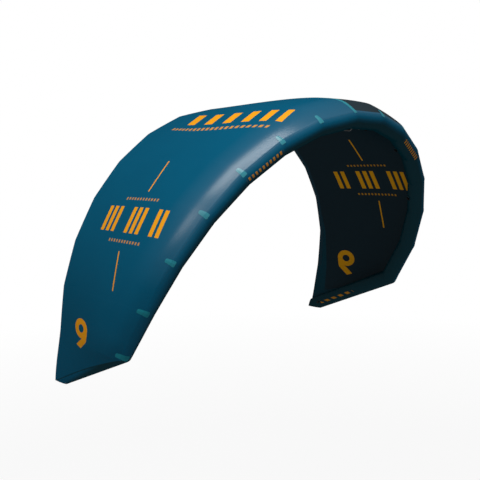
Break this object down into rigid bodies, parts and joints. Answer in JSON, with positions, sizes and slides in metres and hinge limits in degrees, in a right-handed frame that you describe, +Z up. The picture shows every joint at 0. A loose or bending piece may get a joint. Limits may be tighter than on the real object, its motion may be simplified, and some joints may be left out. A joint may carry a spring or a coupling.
{
  "type": "inflatable kitesurfing kite",
  "caption": "Inflatable leading-edge kite in its flying arch: panelled cloth canopy, inflated leading edge and one strut, with valve, pump hose, strut zip and line loops.",
  "frame": {"origin": "on the axis of the leading edge tube at mid-span, where the flying_line_hold mount is", "axes": "+X along the span to the right wingtip, +Y back along the chord from leading edge to trailing edge, +Z up; the arch opens downwards"},
  "size_m": [3.9924, 2.0066, 2.5582],
  "materials": {
    "black_plastic": "satin",
    "black_ripstop": "satin",
    "black_rubber": "matte",
    "black_webbing": "matte",
    "blue_dacron": "satin",
    "blue_ripstop": "satin",
    "clear_film": "gloss",
    "grey_plastic": "satin",
    "orange_plastic": "satin",
    "teal_dacron": "matte",
    "zinc": "polished"
  },
  "bodies": {
    "kite": {"canopy_panel_left_1": "blue_ripstop", "canopy_panel_left_2": "blue_ripstop", "canopy_panel_left_3": "blue_ripstop", "canopy_panel_left_4": "blue_ripstop", "canopy_panel_left_5": "blue_ripstop", "canopy_panel_left_6": "blue_ripstop", "canopy_panel_left_7": "blue_ripstop", "canopy_panel_right_1": "black_ripstop", "canopy_panel_right_2": "black_ripstop", "canopy_panel_right_3": "black_ripstop", "canopy_panel_right_4": "black_ripstop", "canopy_panel_right_5": "black_ripstop", "canopy_panel_right_6": "black_ripstop", "canopy_panel_right_7": "black_ripstop", "centre_seam_tape": "teal_dacron", "front_line_loop_left_1": "black_webbing", "front_line_loop_left_2": "black_webbing", "front_line_loop_right_1": "black_webbing", "front_line_loop_right_2": "black_webbing", "hose_clip_body": "black_plastic", "hose_fitting_leading_edge": "grey_plastic", "hose_fitting_strut": "grey_plastic", "inflation_hose": "black_rubber", "leading_edge_bladder": "clear_film", "leading_edge_left_1": "blue_dacron", "leading_edge_left_2": "blue_dacron", "leading_edge_left_3": "blue_dacron", "leading_edge_left_4": "blue_dacron", "leading_edge_left_5": "blue_dacron", "leading_edge_left_6": "blue_dacron", "leading_edge_left_7": "blue_dacron", "leading_edge_right_1": "blue_dacron", "leading_edge_right_2": "blue_dacron", "leading_edge_right_3": "blue_dacron", "leading_edge_right_4": "blue_dacron", "leading_edge_right_5": "blue_dacron", "leading_edge_right_6": "blue_dacron", "leading_edge_right_7": "blue_dacron", "pump_leash_loop": "black_webbing", "rear_line_loop_left": "black_webbing", "rear_line_loop_right": "black_webbing", "strut_bladder": "clear_film", "strut_canopy_web": "blue_ripstop", "strut_casing": "blue_dacron", "strut_zip_tape": "black_webbing", "trailing_edge_band_left": "teal_dacron", "trailing_edge_band_right": "teal_dacron", "valve_base": "grey_plastic", "wingtip_panel_left": "blue_ripstop", "wingtip_panel_right": "black_ripstop", "wingtip_tube_left": "blue_dacron", "wingtip_tube_right": "blue_dacron"},
    "valve_cap_body": {"valve_cap": "orange_plastic"},
    "valve_insert_body": {"valve_insert": "black_plastic"},
    "valve_flap_body": {"valve_flap": "black_rubber"},
    "clip_lever_body": {"hose_clip_lever": "orange_plastic"},
    "zip_slider_body": {"strut_zip_slider": "zinc"},
    "zip_pull_body": {"strut_zip_pull": "zinc"}
  },
  "joints": [
    {"name": "valve_cap_hinge", "type": "hinge", "parent": "kite", "child": "valve_cap_body", "pos_m": [0.23197, 0.07509, -0.09299], "axis": [-0.0299, -0.7399, -0.6721], "range_deg": [0, 120]},
    {"name": "valve_insert_turn", "type": "hinge", "parent": "kite", "child": "valve_insert_body", "pos_m": [0.19928, 0.07015, -0.0861], "axis": [-0.1239, 0.67, -0.732], "range_deg": [0, 45]},
    {"name": "valve_flap_hinge", "type": "hinge", "parent": "valve_insert_body", "child": "valve_flap_body", "pos_m": [0.18674, 0.06199, -0.07655], "axis": [-0.0299, -0.7399, -0.6721], "range_deg": [0, 60]},
    {"name": "hose_clip_hinge", "type": "hinge", "parent": "kite", "child": "clip_lever_body", "pos_m": [0.00292, 0.12283, -0.1073], "axis": [0, 1, 0], "range_deg": [0, 100]},
    {"name": "zip_slide", "type": "slide", "parent": "kite", "child": "zip_slider_body", "axis": [0, -0.9937, 0.1118], "range_m": [0, 0.5912]},
    {"name": "zip_pull_hinge", "type": "hinge", "parent": "zip_slider_body", "child": "zip_pull_body", "pos_m": [0, 1.45892, -0.05053], "axis": [1, 0, 0], "range_deg": [-75, 75]}
  ]
}
